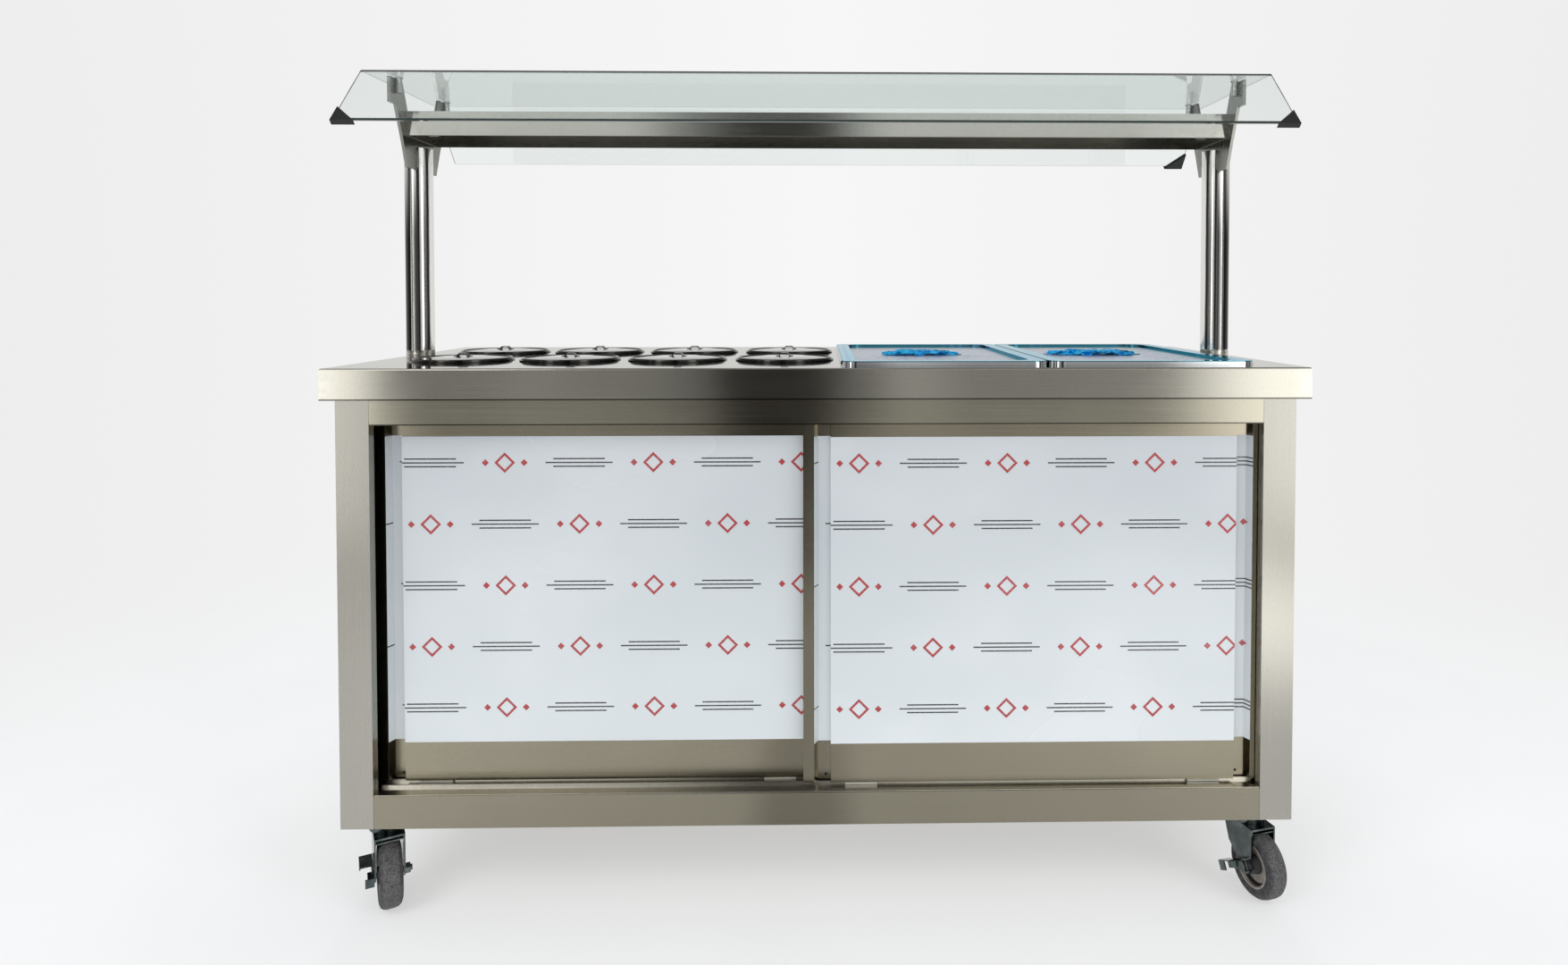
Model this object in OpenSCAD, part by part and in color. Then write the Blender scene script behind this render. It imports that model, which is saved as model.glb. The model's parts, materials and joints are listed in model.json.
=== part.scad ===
// Sauce station: a stainless counter on a cabinet with two sliding doors, round lidded pots,
// rectangular lidded pans, and a glass hood with an overshelf carried on two round uprights.
// Millimetres. Origin on the floor below the middle of the counter, +X right, +Y back, +Z up.

/* [Counter] */
// Depth of counter between the pan rims and each long edge
pan_edge = 35; // [30:1:90]
// Counter left of the first pot flange
left_margin = 63; // [60:1:160]
// Counter right of the last pan rim
right_margin = 67; // [60:1:160]
// Gap between the last pot flange and the first pan rim
pot_pan_gap = 10; // [6:1:60]
// Height of the turned-down counter edge
apron_h = 48; // [35:1:64]
// Sheet thickness of the counter
counter_t = 1.5; // [1:0.1:3]
// Bend radius of the counter edge
counter_r = 3; // [2:0.5:6]
// Width of the folded return under the counter edge
apron_lip = 9; // [5:0.5:10]

/* [Cabinet] */
// Height from the cabinet bottom to the counter surface
cabinet_h = 705; // [600:5:760]
// Counter overhang past the cabinet at each end
overhang_x = 18; // [15:1:40]
// Counter overhang past the cabinet at front and back
overhang_y = 12; // [11:0.5:30]
// Face width of a corner post
post_w = 50; // [40:1:70]
// Depth of the post's return beside the doors
post_return = 17; // [12:0.5:17]
// Sheet thickness of the cabinet
sheet_t = 1.5; // [1:0.1:2]
// Part of the upper rail that shows below the counter edge
rail_show = 39; // [30:1:70]
// Height of the lower rail
rail_h = 50; // [40:1:80]
// Width of the base rails that the casters bolt to
base_rail_w = 98; // [92:1:130]
// Sheet thickness of the base rails
base_t = 2; // [1.5:0.5:4]
// Depth of the lower rail's two folded flanges
rail_flange = 30; // [16:1:40]

/* [Sliding doors] */
// Overlap of the two closed doors
door_overlap = 53; // [50:1:110]
// How far a closed door reaches behind its post
door_behind = 9; // [4:0.5:25]
// Door thickness
door_t = 15; // [15:0.5:22]
// Door face behind the post face
door_setback = 19; // [18.5:0.1:22]
// Gap between the two doors
door_gap = 3; // [2.6:0.1:6]
// Door sheet thickness
door_skin = 1; // [0.8:0.1:1.2]
// Width of the outer flange
flange_w = 17; // [12:0.5:30]
// Width of the finger pull
pull_w = 26; // [22:0.5:40]
// Depth of the finger pull
pull_d = 12; // [8:0.5:12]
// Slant of the finger pull's outer wall
pull_slant = 5.5; // [2:0.5:10]
// Door reach into the upper rail
door_reach = 12; // [8:0.5:13]
// Drain hole in the finger pull
drain_d = 4; // [3:0.5:6]
// Length of a door glide
glide_l = 50; // [30:1:90]
// Glide centre from the door edge
glide_in = 90; // [80:1:160]
// Protective film thickness
film_t = 0.4; // [0.2:0.1:0.8]
// Steel left bare above the door's bottom edge
film_low = 61; // [20:1:120]
// Steel left bare below the door's top edge
film_high = 34; // [20:1:80]

/* [Door tracks] */
// Width of a bottom rib
rib_w = 2.2; // [1.6:0.1:3]
// Height of a bottom rib above the track sheet
rib_h = 3.8; // [3:0.1:6]
// Track sheet thickness
track_t = 1.2; // [1:0.1:1.5]
// Running clearance of a glide over and beside its rib
glide_gap = 0.4; // [0.3:0.1:0.6]
// Depth of the upper channel
channel_h = 16; // [15:0.5:17]

/* [Round pots] */
// Flange diameter
pot_flange_d = 166; // [160:1:190]
// Body diameter
pot_d = 150; // [120:1:150]
// Pot depth below the counter
pot_h = 180; // [120:5:220]
// Pot wall
pot_wall = 1; // [0.8:0.1:2]
// Flange height on the counter
pot_rim = 2; // [1.5:0.1:4]
// Radial clearance of a pot in its hole
pot_clear = 2; // [1:0.5:3]
// Gap between flanges along a row
pot_gap = 15; // [6:1:60]
// Gap between the two rows
pot_row_gap = 54; // [20:1:70]

/* [Pot lids] */
// Lid diameter
lid_d = 159; // [154:1:159]
// Rise of the lid at its centre
lid_rise = 4.8; // [4:0.2:12]
// Edge height of the lid
lid_edge = 1.6; // [1.2:0.1:3]
// Depth of the locating ring inside the pot's rim
lid_ring = 1.5; // [1:0.1:1.5]
// Gap between locating ring and pot wall
lid_clear = 1; // [0.5:0.1:2]
// Length of the strap knob
knob_l = 28; // [20:1:60]
// Width of the strap knob
knob_w = 12; // [8:1:24]
// Height of the strap knob
knob_h = 6; // [5:0.5:20]
// Diameter of the rivet under the knob
rivet_d = 10; // [6:1:16]
// Reach of the rivet below the lid's flange
rivet_low = 1.4; // [1:0.1:1.4]

/* [Pans] */
// Pan rim width
pan_w = 325; // [300:1:340]
// Pan rim length
pan_l = 530; // [500:1:560]
// Pan depth
pan_h = 65; // [20:5:65]
// Rim height on the counter
pan_rim = 6.5; // [3:0.5:8]
// Rim width from the outer edge to the body
pan_ledge = 12; // [10:0.5:16]
// Pan wall
pan_wall = 1; // [0.8:0.1:1.5]
// Gap between the two rims
pan_gap = 1; // [1:0.5:12]
// Clearance between pan body and cut-out
pan_clear = 2; // [1:0.5:4]
// Corner radius of the pan cut-outs
cut_r = 8; // [4:1:24]
// Corner radius of the rim
pan_r = 24; // [14:1:40]
// Corner radius of the body
pan_body_r = 28; // [16:1:40]
// Lid flange inside the rim edge
pan_lid_in = 1; // [0.5:0.5:4]
// Border of the lid around its recess
pan_lid_border = 23; // [20:1:60]
// Depth of the lid recess
pan_lid_recess = 6; // [4:0.5:20]
// Length of the lid handle
pan_handle_l = 120; // [60:5:160]
// Width of the lid handle
pan_handle_w = 20; // [12:1:40]
// Height of the lid handle
pan_handle_h = 8.5; // [8:0.5:30]

/* [Uprights and brackets] */
// Upright tube diameter
upright_d = 48; // [30:0.5:52]
// Upright wall
upright_wall = 1.5; // [1:0.1:3]
// Upright height above the counter
upright_h = 371; // [300:1:500]
// Upright centre from the counter's end
upright_in = 30; // [28:0.5:34]
// Bracket plate's offset from the upright's axis towards the middle
bracket_off = 4.5; // [0:0.5:6]
// Bracket plate thickness
bracket_t = 5; // [3:0.5:8]
// Bracket prong length below the tube top
prong_l = 40; // [20:1:60]
// Bracket half width at the prong tips
prong_half = 62; // [50:1:70]
// Bracket half width level with the tube top
waist_half = 78; // [72:1:84]
// Bracket half width below the heads
neck_half = 105; // [98:1:115]
// Bracket half width at the heads
head_half = 127; // [122:1:136]
// Height from the tube top to the heads
neck_h = 60; // [58:1:90]
// Height of the heads
head_h = 40.5; // [30:0.5:60]
// Half width of the notch between the arms, at its mouth
notch_top = 79; // [50:1:84]
// Half width of the notch at its bottom
notch_low = 58; // [20:1:62]
// Height of the notch bottom above the tube top
notch_z = 44; // [43:1:50]

/* [Overshelf] */
// Overshelf depth
shelf_d = 140; // [120:1:156]
// Overshelf height
shelf_h = 39; // [32:1:41]
// Overshelf underside above the tube top
shelf_z = 14; // [12:1:18]
// Overshelf sheet thickness
shelf_t = 1.2; // [1:0.1:2]
// Diameter of the shelf bolts
bolt_d = 6; // [4:0.5:8]
// Bolt centre from the shelf's long edge
bolt_in = 14; // [11:0.5:25]
// Diameter of the threaded bosses inside the shelf's ends
boss_d = 12; // [11:0.5:16]
// Length of the threaded bosses
boss_l = 9; // [7:0.5:11]

/* [Glass hood] */
// Hood end inside the counter's end
hood_in = 2; // [2:0.5:20]
// Depth of the flat top
hood_top_d = 310; // [300:2:360]
// Horizontal run of each slope
hood_run = 99; // [60:1:120]
// Drop of each slope
hood_drop = 100; // [60:1:120]
// Glass thickness
glass_t = 5; // [4:0.5:10]
// Gap between the bracket heads and the glass
head_gap = 1.5; // [1:0.5:12]
// Outer bend radius of the glass
glass_r = 14; // [11:1:25]
// Stud diameter
stud_d = 10; // [8:1:16]
// Stud length
stud_l = 24; // [15:1:32]
// Stud distance from the middle line
stud_y = 104; // [95:1:112]
// Clear pad thickness
pad_t = 1.5; // [1:0.5:5]
// Clear pad diameter
pad_d = 13; // [10:1:17]
// Leg of a corner cap along the glass edges
cap_leg = 36; // [20:1:60]
// Wall of a corner cap
cap_wall = 2; // [1:0.5:2]

/* [Casters] */
// Caster height with its plate
caster_h = 139; // [134:1:150]
// Height of the caster plates inside the cabinet's lower edge
plate_up = 8; // [6:0.5:12]
// Wheel diameter
wheel_d = 100; // [90:1:101]
// Tyre width
wheel_w = 33; // [24:1:35]
// Hub diameter
hub_d = 68; // [50:1:74]
// Swivel axis to axle distance
trail = 30; // [22:1:34]
// Swivel axis from the cabinet's end
caster_in_x = 49; // [48:1:60]
// Swivel axis from the cabinet's front or back
caster_in_y = 50; // [49.5:0.5:90]
// Plate length
plate_l = 96; // [90:1:98]
// Plate width
plate_w = 80; // [76:1:84]
// Plate thickness
plate_t = 3; // [2.5:0.5:5]
// Diameter of the plate bolts
caster_bolt = 8; // [6:0.5:8]
// Kingpin diameter
king_d = 12; // [10:1:14]
// Axle diameter
axle_d = 9; // [6:0.5:10]
// Running clearance round pins
pin_gap = 0.05; // [0.03:0.01:0.08]
// Fork arm thickness
fork_t = 2.5; // [2:0.5:3]
// Fork reach behind the swivel axis
fork_back = 28; // [24:1:28]
// Fork reach past the axle
fork_nose = 10; // [9:1:12]
// Space between fork arms
fork_inner = 39; // [38:1:46]
// Height of the swivel race
race_h = 25; // [16:0.5:26]
// Diameter of the swivel race
race_d = 54; // [44:1:60]
// Thickness of a brake lever
lever_t = 3; // [2:0.5:4]
// Length of a brake lever behind the axle
lever_l = 44; // [32:1:46]
// Width of the folded brake pedal
lever_w = 16; // [10:1:18]
// Tilt of the left brake lever
lever_fl = 6; // [0:1:20]
// Tilt of the right brake lever
lever_fr = -28; // [-32:1:0]
// Heading of the front left wheel
turn_fl = 28; // [0:1:28]
// Heading of the front right wheel
turn_fr = 15; // [0:1:28]

/* [Hidden] */
// pots in a row
pot_cols = 4;
$fn = 64;
eps = 0.01;
// clear space left between neighbours that only touch on assembly
seat = 0.3;

pot_pitch = pot_flange_d + pot_gap;
pots_l = pot_cols * pot_flange_d + (pot_cols - 1) * pot_gap;
pans_l = 2 * pan_w + pan_gap;
cab_z = caster_h - plate_up;
counter_l = left_margin + pots_l + pot_pan_gap + pans_l + right_margin;
counter_d = pan_l + 2 * pan_edge;
counter_h = cab_z + cabinet_h;
half_l = counter_l / 2;
half_d = counter_d / 2;
under = counter_h - counter_t;

pot_x0 = left_margin + pot_flange_d / 2 - half_l;
pot_y = (pot_flange_d + pot_row_gap) / 2;
hole_d = pot_d + 2 * pot_clear;
pan_x0 = half_l - right_margin - pan_w / 2;
pan_body_w = pan_w - 2 * pan_ledge;
pan_body_l = pan_l - 2 * pan_ledge;
function pan_x(i) = i == 1 ? pan_x0 - pan_w - pan_gap : pan_x0;
function pot_x(i) = pot_x0 + (i - 1) * pot_pitch;

cab_x = half_l - overhang_x;
cab_y = half_d - overhang_y;
inner_x = cab_x - post_w;
joint_gap = 0.4;
rail_low = counter_h - apron_h - rail_show;

deck_top = cab_z + rail_h;
track_top_z = deck_top + track_t;
rib_top = track_top_z + rib_h;
channel_top = rail_low + 4 + channel_h;
door_z0 = rib_top + 1;
end_t = door_skin;
door_z1 = rail_low + door_reach;
door_x_out = inner_x + door_behind;
door_w = door_x_out + door_overlap / 2;
face_right = -cab_y + door_setback;
face_left = face_right + door_t + door_gap;
rib_right = face_right + door_t / 2;
rib_left = face_left + door_t / 2;
pull_flat = pull_w - pull_slant;

upright_x = half_l - upright_in;
tube_top = counter_h + upright_h;
hood_l = counter_l - 2 * hood_in;
head_top = tube_top + neck_h + head_h;
glass_low = head_top + head_gap;
hood_top = glass_low + glass_t;
hood_half = hood_top_d / 2 + hood_run;
bracket_x = upright_x - bracket_off;
bracket_in = bracket_x - bracket_t / 2;
stud_x = bracket_in - stud_d / 2 - 0.05;
shelf_end_gap = 0.2;
shelf_l = 2 * (bracket_in - shelf_end_gap);
shelf_low = tube_top + shelf_z;
bolt_y = shelf_d / 2 - bolt_in;
bolt_z = shelf_low + shelf_h / 2;

caster_x = cab_x - caster_in_x;
caster_y = cab_y - caster_in_y;
axle_z = wheel_d / 2;
crown_top = caster_h - plate_t - race_h - seat;
crown_t = 3;
fork_out = fork_inner / 2 + fork_t;
hub_w = fork_inner - 3;
king_low = crown_top - crown_t - seat;
king_head = 4;
lever_in = fork_out + seat;
lever_out = lever_in + lever_t;
nut_gap = 0.05;
turn_rl = 180 + turn_fr;
turn_rr = 180 - turn_fl;
plate_hole_x = plate_w / 2 - 10;
plate_hole_y = plate_l / 2 - 10;

steel = [0.74, 0.74, 0.71];
bright = [0.82, 0.83, 0.83];
zinc = [0.62, 0.66, 0.66];
film_white = [0.86, 0.88, 0.9];

// sheet with its lower left front corner at p
module slab(p, s) {
    translate(p) cube(s);
}

// rectangle with rounded corners, centred
module round_rect(w, l, r) {
    union() {
        square([w - 2 * r, l], center = true);
        square([w, l - 2 * r], center = true);
        for (x = [-1, 1], y = [-1, 1])
            translate([x * (w / 2 - r), y * (l / 2 - r)]) circle(r = r, $fn = 48);
    }
}

// end profile of the counter, as wide as w and with both upper edges rounded
module edge_profile(w, h, r) {
    union() {
        translate([-w / 2, 0]) square([w, h - r]);
        translate([-w / 2 + r, 0]) square([w - 2 * r, h]);
        for (x = [-1, 1]) translate([x * (w / 2 - r), h - r]) circle(r = r, $fn = 32);
    }
}

// block whose four upper edges are rounded
module edge_block(l, d, h, r) {
    intersection() {
        rotate([90, 0, 0])
            translate([0, 0, -d / 2]) linear_extrude(height = d) edge_profile(l, h, r);
        rotate([90, 0, 90])
            translate([0, 0, -l / 2]) linear_extrude(height = l) edge_profile(d, h, r);
    }
}

module countertop() {
    color(bright) difference() {
        translate([0, 0, counter_h - apron_h])
            edge_block(counter_l, counter_d, apron_h, counter_r);
        translate([0, 0, counter_h - apron_h + counter_t])
            edge_block(counter_l - 2 * counter_t, counter_d - 2 * counter_t,
                apron_h - 2 * counter_t, counter_r - counter_t / 2);
        slab([-half_l + apron_lip, -half_d + apron_lip, counter_h - apron_h - 1],
            [counter_l - 2 * apron_lip, counter_d - 2 * apron_lip, apron_h / 2]);
        for (i = [1 : pot_cols], y = [-1, 1])
            translate([pot_x(i), y * pot_y, counter_h - apron_h / 2])
                cylinder(d = hole_d, h = apron_h, $fn = 96);
        for (i = [1, 2])
            translate([pan_x(i), 0, counter_h - apron_h / 2])
                linear_extrude(height = apron_h)
                    round_rect(pan_body_w + 2 * pan_clear, pan_body_l + 2 * pan_clear, cut_r);
    }
}

// folded corner post, outer corner at x = 0, y = 0, face along +x and side along +y
module corner_post(with_return) {
    h = under - cab_z;
    union() {
        cube([post_w, sheet_t, h]);
        cube([sheet_t, post_w, h]);
        if (with_return)
            translate([post_w - sheet_t, 0, rail_h])
                cube([sheet_t, post_return, h - rail_h]);
    }
}

module corner_posts() {
    color(steel) {
        translate([-cab_x, -cab_y, cab_z]) corner_post(true);
        translate([cab_x, -cab_y, cab_z]) mirror([1, 0, 0]) corner_post(true);
        translate([-cab_x, cab_y, cab_z]) mirror([0, 1, 0]) corner_post(false);
        translate([cab_x, cab_y, cab_z]) rotate([0, 0, 180]) corner_post(false);
    }
}

module rail_top_front() {
    x = inner_x - joint_gap;
    color(steel) union() {
        slab([-x, -cab_y, rail_low], [2 * x, sheet_t, under - rail_low]);
        slab([-x, -cab_y, rail_low], [2 * x, door_setback - 1, sheet_t]);
        slab([-x, -cab_y, under - sheet_t], [2 * x, post_return, sheet_t]);
    }
}

module rail_base_front() {
    x = inner_x - joint_gap;
    xf = cab_x - base_rail_w - sheet_t - joint_gap;
    color(steel) union() {
        slab([-x, -cab_y, cab_z], [2 * x, sheet_t, rail_h]);
        slab([-xf, -cab_y, cab_z], [2 * xf, rail_flange, sheet_t]);
        slab([-xf, -cab_y, deck_top - 2 * sheet_t - 0.05], [2 * xf, rail_flange, sheet_t]);
    }
}

// right channel of the two that carry the deck and two casters each, open at the top
module base_rail() {
    x0 = cab_x - sheet_t - base_rail_w - 0.05;
    y0 = -cab_y + sheet_t + 0.05;
    len_y = 2 * (cab_y - sheet_t - 0.05);
    h = deck_top - sheet_t - 0.05 - caster_h;
    difference() {
        slab([x0, y0, caster_h], [base_rail_w, len_y, h]);
        slab([x0 + base_t, y0 - 1, caster_h + base_t],
            [base_rail_w - 2 * base_t, len_y + 2, h]);
        for (y = [-1, 1], u = [-1, 1], v = [-1, 1])
            translate([caster_x + u * plate_hole_x, y * caster_y + v * plate_hole_y,
                caster_h - 1])
                cylinder(d = caster_bolt + 0.4, h = base_t + 2, $fn = 24);
    }
}

module base_rails() {
    color(steel) for (x = [0, 1]) mirror([x, 0, 0]) base_rail();
}

module side_sheet() {
    y = cab_y - post_w - 0.2;
    slab([cab_x - sheet_t, -y, cab_z], [sheet_t, 2 * y, under - cab_z]);
}

module side_right() {
    color(steel) side_sheet();
}

module side_left() {
    color(steel) mirror([1, 0, 0]) side_sheet();
}

module back_panel() {
    x = inner_x - joint_gap;
    color(steel) slab([-x, cab_y - sheet_t, cab_z], [2 * x, sheet_t, under - cab_z]);
}

module deck() {
    x = cab_x - sheet_t - 0.05;
    y = cab_y - sheet_t - 0.05;
    color(steel) slab([-x, -y, deck_top - sheet_t], [2 * x, 2 * y, sheet_t]);
}

// sheet over the door tops; with the two strips under it and the rail's own sheet it makes
// a double channel that is open downwards
module track_top() {
    x = inner_x - joint_gap;
    y0 = -cab_y + sheet_t;
    color(steel) slab([-x, y0, channel_top - track_t],
        [2 * x, face_left + door_t + 1 - y0 + track_t, track_t]);
}

module track_strips() {
    x = inner_x - joint_gap;
    color(steel) for (y = [face_right + door_t + door_gap / 2 - track_t / 2,
        face_left + door_t + 1])
        slab([-x, y, channel_top - channel_h], [2 * x, track_t, channel_h - track_t]);
}

module track_bottom() {
    x = inner_x - joint_gap;
    y0 = -cab_y + sheet_t + 0.1;
    y1 = face_left + door_t + 4;
    color(bright) union() {
        slab([-x, y0, deck_top], [2 * x, y1 - y0, track_t]);
        for (y = [rib_right, rib_left])
            slab([-x, y - rib_w / 2, deck_top], [2 * x, rib_w, track_t + rib_h]);
    }
}

module upright() {
    translate([0, 0, counter_h]) difference() {
        cylinder(d = upright_d, h = upright_h, $fn = 96);
        translate([0, 0, -1])
            cylinder(d = upright_d - 2 * upright_wall, h = upright_h - 1, $fn = 96);
    }
}

module upright_left() {
    color(bright) translate([-upright_x, 0, 0]) upright();
}

module upright_right() {
    color(bright) translate([upright_x, 0, 0]) upright();
}

// outline of a bracket plate: first coordinate front to back, second height above the tube top
module bracket_outline() {
    s = upright_d / 2 + 0.05;
    difference() {
        union() {
            polygon([[-prong_half, -prong_l], [prong_half, -prong_l], [waist_half, 0],
                [neck_half, neck_h], [-neck_half, neck_h], [-waist_half, 0]]);
            translate([-head_half, neck_h - 2]) square([2 * head_half, head_h + 2]);
        }
        polygon([[-s, -prong_l - 1], [s, -prong_l - 1], [s, 0], [-s, 0]]);
        polygon([[-notch_low, notch_z + 8], [notch_low, notch_z + 8],
            [notch_top, neck_h + head_h + 1], [-notch_top, neck_h + head_h + 1]]);
        translate([0, notch_z + 8]) square([2 * notch_low - 16, 16], center = true);
        for (y = [-1, 1])
            translate([y * (notch_low - 8), notch_z + 8]) circle(r = 8, $fn = 32);
    }
}

module bracket() {
    translate([-bracket_t / 2, 0, tube_top]) rotate([90, 0, 90]) difference() {
        linear_extrude(height = bracket_t) bracket_outline();
        for (y = [-1, 1])
            translate([y * bolt_y, bolt_z - tube_top, -1])
                cylinder(d = bolt_d + 0.4, h = bracket_t + 2, $fn = 32);
    }
}

module bracket_left() {
    color(steel) translate([-bracket_x, 0, 0]) bracket();
}

module bracket_right() {
    color(steel) translate([bracket_x, 0, 0]) bracket();
}

module glass_studs() {
    z0 = glass_low - pad_t - stud_l;
    color(bright) for (x = [-1, 1], y = [-1, 1])
        translate([x * stud_x, y * stud_y, z0])
            cylinder(d = stud_d, h = stud_l, $fn = 40);
}

module glass_pads() {
    color([0.85, 0.9, 0.9, 0.6]) for (x = [-1, 1], y = [-1, 1])
        translate([x * stud_x, y * stud_y, glass_low - pad_t])
            cylinder(d = pad_d, h = pad_t, $fn = 40);
}

module overshelf() {
    color(steel) translate([0, 0, shelf_low]) difference() {
        union() {
            difference() {
                translate([-shelf_l / 2, -shelf_d / 2, 0]) cube([shelf_l, shelf_d, shelf_h]);
                translate([-shelf_l / 2 + shelf_t, -shelf_d / 2 + shelf_t, -1])
                    cube([shelf_l - 2 * shelf_t, shelf_d - 2 * shelf_t,
                        shelf_h - shelf_t + 1]);
            }
            at_shelf_bolts() translate([0, 0, shelf_t / 2])
                cylinder(d = boss_d, h = shelf_t / 2 + boss_l, $fn = 32);
        }
        at_shelf_bolts() translate([0, 0, -1])
            cylinder(d = bolt_d + 0.4, h = shelf_t + boss_l - 0.5, $fn = 32);
    }
}

// each bolt's place on the shelf's ends, +z pointing into the shelf
module at_shelf_bolts() {
    for (x = [-1, 1], y = [-1, 1])
        translate([x * shelf_l / 2, y * bolt_y, shelf_h / 2]) rotate([0, -90 * x, 0]) children();
}

// hex bolt along +z: head below z = 0, grip between head and nut, nut above the grip
module hex_bolt(d, grip, tail) {
    translate([0, 0, -0.65 * d]) cylinder(d = 1.9 * d, h = 0.65 * d, $fn = 6);
    translate([0, 0, -eps]) cylinder(d = d, h = grip + 0.8 * d + tail, $fn = 24);
    translate([0, 0, grip]) cylinder(d = 1.9 * d, h = 0.8 * d, $fn = 6);
}

// hex screw along +z, its head below z = 0
module hex_screw(d, l) {
    translate([0, 0, -0.65 * d]) cylinder(d = 1.9 * d, h = 0.65 * d, $fn = 6);
    translate([0, 0, -eps]) cylinder(d = d, h = l, $fn = 24);
}

module shelf_bolts() {
    color(zinc) for (x = [-1, 1], y = [-1, 1])
        translate([x * (bracket_x + bracket_t / 2), y * bolt_y, bolt_z])
            rotate([0, -90 * x, 0])
                hex_screw(bolt_d, bracket_t + shelf_end_gap + shelf_t + boss_l - 4);
}

// outline of the bent glass: first coordinate front to back, second height above its lower edge
function arc_pts(c, r, a0, a1, n) =
    [for (i = [0 : n]) c + r * [cos(a0 + (a1 - a0) * i / n), sin(a0 + (a1 - a0) * i / n)]];
slope = atan2(hood_drop, hood_run);
bend_in = glass_r * tan(slope / 2);
bend_c = [hood_top_d / 2 - bend_in, hood_drop - glass_r];

module hood_outline(shift, r) {
    tip = [hood_half, 0] - shift * [sin(slope), cos(slope)];
    side = concat([tip], arc_pts(bend_c, r, 90 - slope, 90, 8));
    left = [for (i = [len(side) - 1 : -1 : 0]) [-side[i][0], side[i][1]]];
    polygon(concat(side, left, [[-tip[0], -2 * glass_t], [tip[0], -2 * glass_t]]));
}

module hood_glass() {
    color([0.6, 0.85, 0.78, 0.4]) translate([-hood_l / 2, 0, hood_top - hood_drop])
        rotate([90, 0, 90]) linear_extrude(height = hood_l) difference() {
            hood_outline(0, glass_r);
            hood_outline(glass_t, glass_r - glass_t);
            translate([-hood_half, -3 * glass_t]) square([2 * hood_half, 3 * glass_t]);
        }
}

// triangular pocket over a lower corner of the glass, from the corner along both edges
module corner_cap() {
    w = cap_wall;
    c = 0.05;
    translate([0, 0, -glass_t - w - c]) difference() {
        linear_extrude(height = glass_t + 2 * (w + c))
            polygon([[w, -w], [w - cap_leg, -w], [w, cap_leg - w]]);
        translate([-2 * cap_leg, -c, w])
            cube([2 * cap_leg + c, 2 * cap_leg, glass_t + 2 * c]);
    }
}

module corner_caps() {
    // front right, front left and rear right
    color([0.06, 0.06, 0.06]) for (m = [[0, 0], [1, 0], [0, 1]])
        mirror([m[0], 0, 0]) mirror([0, m[1], 0])
            translate([hood_l / 2, -hood_half, hood_top - hood_drop])
                rotate([slope, 0, 0]) corner_cap();
}

module caster_plate() {
    difference() {
        union() {
            translate([-plate_w / 2, -plate_l / 2, caster_h - plate_t])
                cube([plate_w, plate_l, plate_t]);
            translate([0, 0, caster_h - plate_t - race_h]) cylinder(d = race_d, h = race_h + eps);
            translate([0, 0, king_low]) cylinder(d = king_d, h = caster_h - plate_t - king_low);
            translate([0, 0, king_low - king_head])
                cylinder(d = king_d + 8, h = king_head + eps);
        }
        for (u = [-1, 1], v = [-1, 1])
            translate([u * plate_hole_x, v * plate_hole_y, caster_h - plate_t - 1])
                cylinder(d = caster_bolt + 0.4, h = plate_t + 2, $fn = 24);
    }
}

module at_casters() {
    for (x = [-1, 1], y = [-1, 1]) translate([x * caster_x, y * caster_y, 0]) children();
}

module caster_plates() {
    color(zinc) at_casters() caster_plate();
}

module plate_bolts() {
    color(zinc) at_casters() for (u = [-1, 1], v = [-1, 1])
        translate([u * plate_hole_x, v * plate_hole_y, caster_h - plate_t])
            hex_bolt(caster_bolt, plate_t + base_t, 2);
}

// cross-section of a door: front face at y = 0, hollow, with a finger pull at each side
module door_shell_outline(w) {
    f = flange_w;
    p = flange_w + pull_w;
    polygon([[0, 0], [f, 0], [f + pull_slant, pull_d], [p, pull_d], [p, 0], [w - p, 0],
        [w - p, pull_d], [w - f - pull_slant, pull_d], [w - f, 0], [w, 0], [w, door_t],
        [0, door_t]]);
}

module door_hollow_outline(w) {
    s = door_skin;
    f = flange_w;
    p = flange_w + pull_w;
    g = pull_slant * s / pull_d;
    translate([p + s, s]) square([w - 2 * p - 2 * s, door_t - 2 * s]);
    for (m = [0, 1]) translate([m * w, 0]) mirror([m, 0])
        polygon([[s, s], [f - s, s], [f + pull_slant - s - g, pull_d + s - 0.2],
            [f + pull_slant - s, door_t - s], [s, door_t - s]]);
}

module door(face) {
    h = door_z1 - door_z0;
    translate([0, face, door_z0]) difference() {
        linear_extrude(height = h) door_shell_outline(door_w);
        translate([0, 0, end_t])
            linear_extrude(height = h - 2 * end_t) door_hollow_outline(door_w);
        for (x = [glide_in, door_w - glide_in])
            translate([x - glide_l / 2 - 0.1, door_skin, -1])
                cube([glide_l + 0.2, door_t - 2 * door_skin, end_t + 2]);
        for (x = [flange_w + pull_w - 8, door_w - flange_w - pull_w + 8])
            translate([x, -1, 8]) rotate([-90, 0, 0])
                cylinder(d = drain_d, h = door_t + 2, $fn = 24);
    }
}

// the left door runs in the rear track, the right door in the front track
module door_left() {
    color(steel) translate([-door_x_out, 0, 0]) door(face_left);
}

module door_right() {
    color(steel) translate([door_x_out - door_w, 0, 0]) door(face_right);
}

// film that follows the face and both finger pulls
module film_outline(w) {
    t = film_t;
    f = flange_w;
    p = flange_w + pull_w;
    d = pull_d;
    k = pull_slant;
    polygon([[f, 0], [f + k, d], [p, d], [p, 0], [w - p, 0], [w - p, d], [w - f - k, d],
        [w - f, 0], [w - f - t, 0], [w - f - k - t, d - t], [w - p + t, d - t],
        [w - p + t, -t], [p - t, -t], [p - t, d - t], [f + k + t, d - t], [f + t, 0]]);
}

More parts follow.
